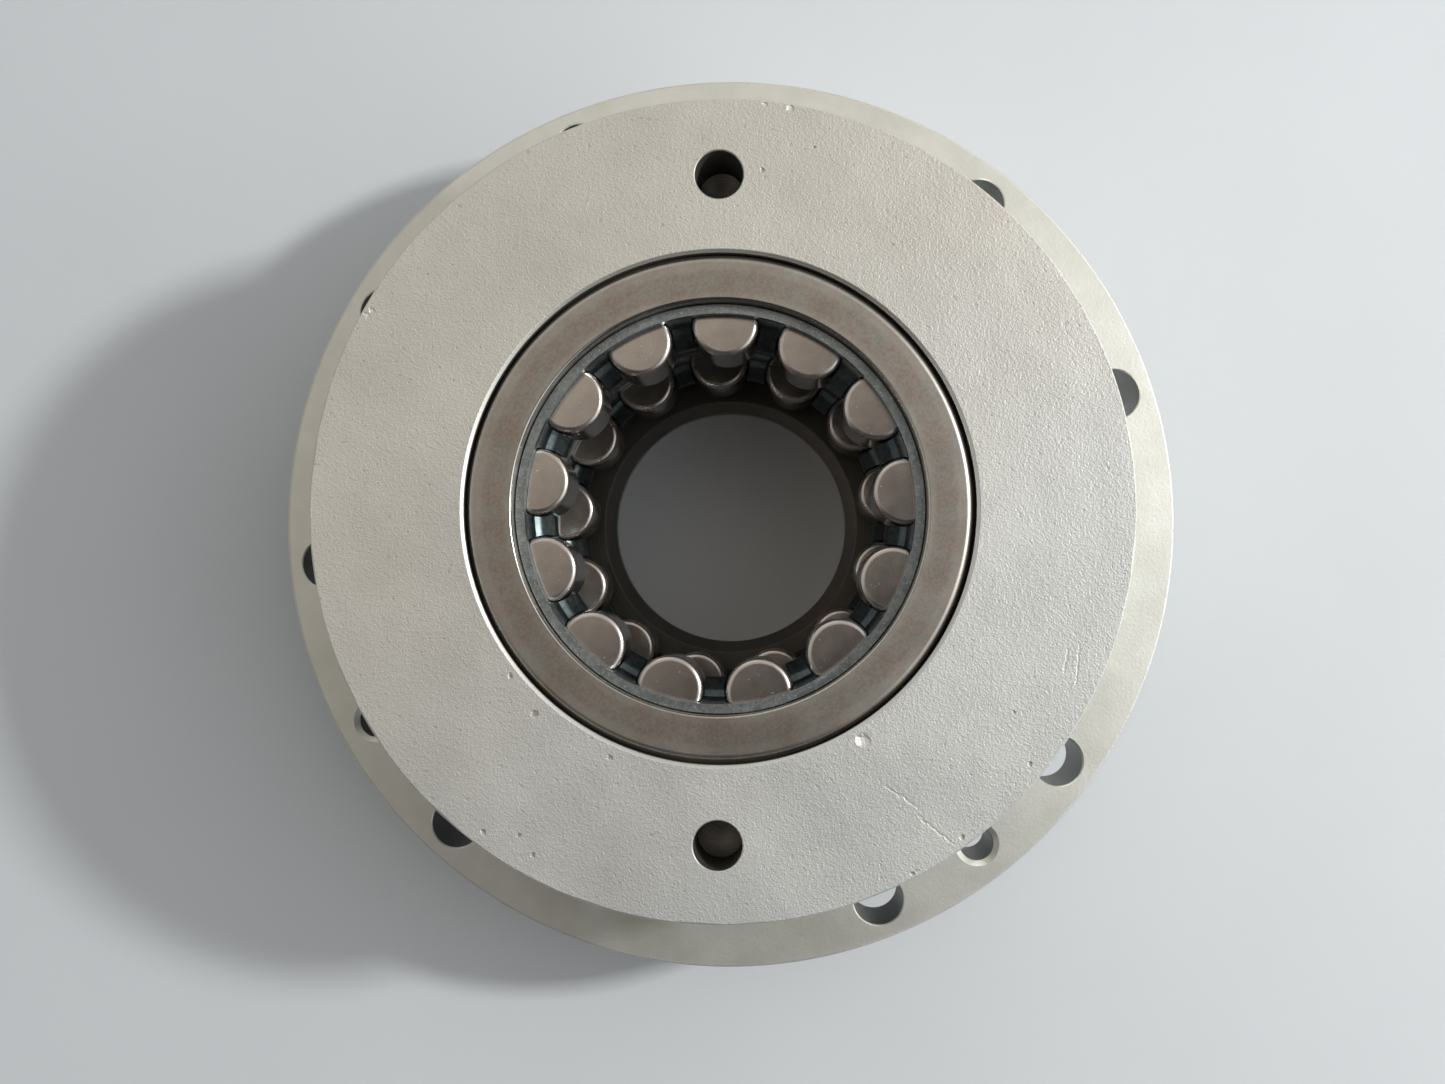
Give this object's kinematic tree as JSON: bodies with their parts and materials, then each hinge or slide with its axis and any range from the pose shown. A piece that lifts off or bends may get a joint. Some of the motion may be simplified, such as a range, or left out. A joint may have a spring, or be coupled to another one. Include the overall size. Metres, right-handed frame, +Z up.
{
  "type": "flanged roller bearing unit",
  "caption": "Round flanged bearing housing with two caged rows of cylindrical rollers in outer rings, open through the middle for a shaft that runs on the rollers.",
  "frame": {"origin": "middle of the bottom face of the spigot, on the shaft axis", "axes": "+Z up along the shaft axis, out of the open bearing face; +Y towards one of the two holes in that face"},
  "size_m": [0.175, 0.175, 0.065],
  "materials": {
    "housing_casting": "bead-blasted light-metal casting, matt, with a fine grain",
    "ring_steel": "ground bearing steel with a faint turned lay and bright edges",
    "spacer_steel": "turned steel, oiled",
    "cage_steel": "pressed sheet steel, bluish and slightly dull",
    "roller_steel": "polished bearing steel with lapped ends"
  },
  "bodies": {
    "housing": {"housing": "housing_casting", "upper_outer_ring": "ring_steel", "lower_outer_ring": "ring_steel", "spacer_ring": "spacer_steel"},
    "upper_cage": {"upper_cage": "cage_steel"},
    "lower_cage": {"lower_cage": "cage_steel"},
    "upper_roller_01": {"upper_roller_01": "roller_steel"},
    "upper_roller_02": {"upper_roller_02": "roller_steel"},
    "upper_roller_03": {"upper_roller_03": "roller_steel"},
    "upper_roller_04": {"upper_roller_04": "roller_steel"},
    "upper_roller_05": {"upper_roller_05": "roller_steel"},
    "upper_roller_06": {"upper_roller_06": "roller_steel"},
    "upper_roller_07": {"upper_roller_07": "roller_steel"},
    "upper_roller_08": {"upper_roller_08": "roller_steel"},
    "upper_roller_09": {"upper_roller_09": "roller_steel"},
    "upper_roller_10": {"upper_roller_10": "roller_steel"},
    "upper_roller_11": {"upper_roller_11": "roller_steel"},
    "upper_roller_12": {"upper_roller_12": "roller_steel"},
    "upper_roller_13": {"upper_roller_13": "roller_steel"},
    "lower_roller_01": {"lower_roller_01": "roller_steel"},
    "lower_roller_02": {"lower_roller_02": "roller_steel"},
    "lower_roller_03": {"lower_roller_03": "roller_steel"},
    "lower_roller_04": {"lower_roller_04": "roller_steel"},
    "lower_roller_05": {"lower_roller_05": "roller_steel"},
    "lower_roller_06": {"lower_roller_06": "roller_steel"},
    "lower_roller_07": {"lower_roller_07": "roller_steel"},
    "lower_roller_08": {"lower_roller_08": "roller_steel"},
    "lower_roller_09": {"lower_roller_09": "roller_steel"},
    "lower_roller_10": {"lower_roller_10": "roller_steel"},
    "lower_roller_11": {"lower_roller_11": "roller_steel"},
    "lower_roller_12": {"lower_roller_12": "roller_steel"},
    "lower_roller_13": {"lower_roller_13": "roller_steel"}
  },
  "joints": [
    {"name": "upper_cage_spin", "type": "hinge", "parent": "housing", "child": "upper_cage", "pos_m": [0, 0, 0.0532], "axis": [0, 0, 1], "continuous": true},
    {"name": "lower_cage_spin", "type": "hinge", "parent": "housing", "child": "lower_cage", "pos_m": [0, 0, 0.0171], "axis": [0, 0, 1], "continuous": true},
    {"name": "upper_roller_01_spin", "type": "hinge", "parent": "upper_cage", "child": "upper_roller_01", "pos_m": [0.00093, 0.03342, 0.0532], "axis": [0, 0, 1], "continuous": true},
    {"name": "upper_roller_02_spin", "type": "hinge", "parent": "upper_cage", "child": "upper_roller_02", "pos_m": [0.01636, 0.02915, 0.0532], "axis": [0, 0, 1], "continuous": true},
    {"name": "upper_roller_03_spin", "type": "hinge", "parent": "upper_cage", "child": "upper_roller_03", "pos_m": [0.02803, 0.01821, 0.0532], "axis": [0, 0, 1], "continuous": true},
    {"name": "upper_roller_04_spin", "type": "hinge", "parent": "upper_cage", "child": "upper_roller_04", "pos_m": [0.03328, 0.0031, 0.0532], "axis": [0, 0, 1], "continuous": true},
    {"name": "upper_roller_05_spin", "type": "hinge", "parent": "upper_cage", "child": "upper_roller_05", "pos_m": [0.03091, -0.01272, 0.0532], "axis": [0, 0, 1], "continuous": true},
    {"name": "upper_roller_06_spin", "type": "hinge", "parent": "upper_cage", "child": "upper_roller_06", "pos_m": [0.02146, -0.02563, 0.0532], "axis": [0, 0, 1], "continuous": true},
    {"name": "upper_roller_07_spin", "type": "hinge", "parent": "upper_cage", "child": "upper_roller_07", "pos_m": [0.00709, -0.03267, 0.0532], "axis": [0, 0, 1], "continuous": true},
    {"name": "upper_roller_08_spin", "type": "hinge", "parent": "upper_cage", "child": "upper_roller_08", "pos_m": [-0.0089, -0.03222, 0.0532], "axis": [0, 0, 1], "continuous": true},
    {"name": "upper_roller_09_spin", "type": "hinge", "parent": "upper_cage", "child": "upper_roller_09", "pos_m": [-0.02286, -0.02439, 0.0532], "axis": [0, 0, 1], "continuous": true},
    {"name": "upper_roller_10_spin", "type": "hinge", "parent": "upper_cage", "child": "upper_roller_10", "pos_m": [-0.03158, -0.01098, 0.0532], "axis": [0, 0, 1], "continuous": true},
    {"name": "upper_roller_11_spin", "type": "hinge", "parent": "upper_cage", "child": "upper_roller_11", "pos_m": [-0.03306, 0.00495, 0.0532], "axis": [0, 0, 1], "continuous": true},
    {"name": "upper_roller_12_spin", "type": "hinge", "parent": "upper_cage", "child": "upper_roller_12", "pos_m": [-0.02697, 0.01975, 0.0532], "axis": [0, 0, 1], "continuous": true},
    {"name": "upper_roller_13_spin", "type": "hinge", "parent": "upper_cage", "child": "upper_roller_13", "pos_m": [-0.0147, 0.03002, 0.0532], "axis": [0, 0, 1], "continuous": true},
    {"name": "lower_roller_01_spin", "type": "hinge", "parent": "lower_cage", "child": "lower_roller_01", "pos_m": [-0.00175, 0.03338, 0.0171], "axis": [0, 0, 1], "continuous": true},
    {"name": "lower_roller_02_spin", "type": "hinge", "parent": "lower_cage", "child": "lower_roller_02", "pos_m": [0.01396, 0.03037, 0.0171], "axis": [0, 0, 1], "continuous": true},
    {"name": "lower_roller_03_spin", "type": "hinge", "parent": "lower_cage", "child": "lower_roller_03", "pos_m": [0.02648, 0.0204, 0.0171], "axis": [0, 0, 1], "continuous": true},
    {"name": "lower_roller_04_spin", "type": "hinge", "parent": "lower_cage", "child": "lower_roller_04", "pos_m": [0.03293, 0.00576, 0.0171], "axis": [0, 0, 1], "continuous": true},
    {"name": "lower_roller_05_spin", "type": "hinge", "parent": "lower_cage", "child": "lower_roller_05", "pos_m": [0.03183, -0.0102, 0.0171], "axis": [0, 0, 1], "continuous": true},
    {"name": "lower_roller_06_spin", "type": "hinge", "parent": "lower_cage", "child": "lower_roller_06", "pos_m": [0.02345, -0.02383, 0.0171], "axis": [0, 0, 1], "continuous": true},
    {"name": "lower_roller_07_spin", "type": "hinge", "parent": "lower_cage", "child": "lower_roller_07", "pos_m": [0.00969, -0.03199, 0.0171], "axis": [0, 0, 1], "continuous": true},
    {"name": "lower_roller_08_spin", "type": "hinge", "parent": "lower_cage", "child": "lower_roller_08", "pos_m": [-0.00629, -0.03283, 0.0171], "axis": [0, 0, 1], "continuous": true},
    {"name": "lower_roller_09_spin", "type": "hinge", "parent": "lower_cage", "child": "lower_roller_09", "pos_m": [-0.02083, -0.02615, 0.0171], "axis": [0, 0, 1], "continuous": true},
    {"name": "lower_roller_10_spin", "type": "hinge", "parent": "lower_cage", "child": "lower_roller_10", "pos_m": [-0.03059, -0.01347, 0.0171], "axis": [0, 0, 1], "continuous": true},
    {"name": "lower_roller_11_spin", "type": "hinge", "parent": "lower_cage", "child": "lower_roller_11", "pos_m": [-0.03335, 0.00229, 0.0171], "axis": [0, 0, 1], "continuous": true},
    {"name": "lower_roller_12_spin", "type": "hinge", "parent": "lower_cage", "child": "lower_roller_12", "pos_m": [-0.02847, 0.01752, 0.0171], "axis": [0, 0, 1], "continuous": true},
    {"name": "lower_roller_13_spin", "type": "hinge", "parent": "lower_cage", "child": "lower_roller_13", "pos_m": [-0.01706, 0.02875, 0.0171], "axis": [0, 0, 1], "continuous": true}
  ],
  "couplings": [
    {"joint": "upper_roller_01_spin", "follows": "upper_cage_spin", "ratio": -6.5714},
    {"joint": "upper_roller_02_spin", "follows": "upper_cage_spin", "ratio": -6.5714},
    {"joint": "upper_roller_03_spin", "follows": "upper_cage_spin", "ratio": -6.5714},
    {"joint": "upper_roller_04_spin", "follows": "upper_cage_spin", "ratio": -6.5714},
    {"joint": "upper_roller_05_spin", "follows": "upper_cage_spin", "ratio": -6.5714},
    {"joint": "upper_roller_06_spin", "follows": "upper_cage_spin", "ratio": -6.5714},
    {"joint": "upper_roller_07_spin", "follows": "upper_cage_spin", "ratio": -6.5714},
    {"joint": "upper_roller_08_spin", "follows": "upper_cage_spin", "ratio": -6.5714},
    {"joint": "upper_roller_09_spin", "follows": "upper_cage_spin", "ratio": -6.5714},
    {"joint": "upper_roller_10_spin", "follows": "upper_cage_spin", "ratio": -6.5714},
    {"joint": "upper_roller_11_spin", "follows": "upper_cage_spin", "ratio": -6.5714},
    {"joint": "upper_roller_12_spin", "follows": "upper_cage_spin", "ratio": -6.5714},
    {"joint": "upper_roller_13_spin", "follows": "upper_cage_spin", "ratio": -6.5714},
    {"joint": "lower_roller_01_spin", "follows": "lower_cage_spin", "ratio": -6.5714},
    {"joint": "lower_roller_02_spin", "follows": "lower_cage_spin", "ratio": -6.5714},
    {"joint": "lower_roller_03_spin", "follows": "lower_cage_spin", "ratio": -6.5714},
    {"joint": "lower_roller_04_spin", "follows": "lower_cage_spin", "ratio": -6.5714},
    {"joint": "lower_roller_05_spin", "follows": "lower_cage_spin", "ratio": -6.5714},
    {"joint": "lower_roller_06_spin", "follows": "lower_cage_spin", "ratio": -6.5714},
    {"joint": "lower_roller_07_spin", "follows": "lower_cage_spin", "ratio": -6.5714},
    {"joint": "lower_roller_08_spin", "follows": "lower_cage_spin", "ratio": -6.5714},
    {"joint": "lower_roller_09_spin", "follows": "lower_cage_spin", "ratio": -6.5714},
    {"joint": "lower_roller_10_spin", "follows": "lower_cage_spin", "ratio": -6.5714},
    {"joint": "lower_roller_11_spin", "follows": "lower_cage_spin", "ratio": -6.5714},
    {"joint": "lower_roller_12_spin", "follows": "lower_cage_spin", "ratio": -6.5714},
    {"joint": "lower_roller_13_spin", "follows": "lower_cage_spin", "ratio": -6.5714}
  ]
}
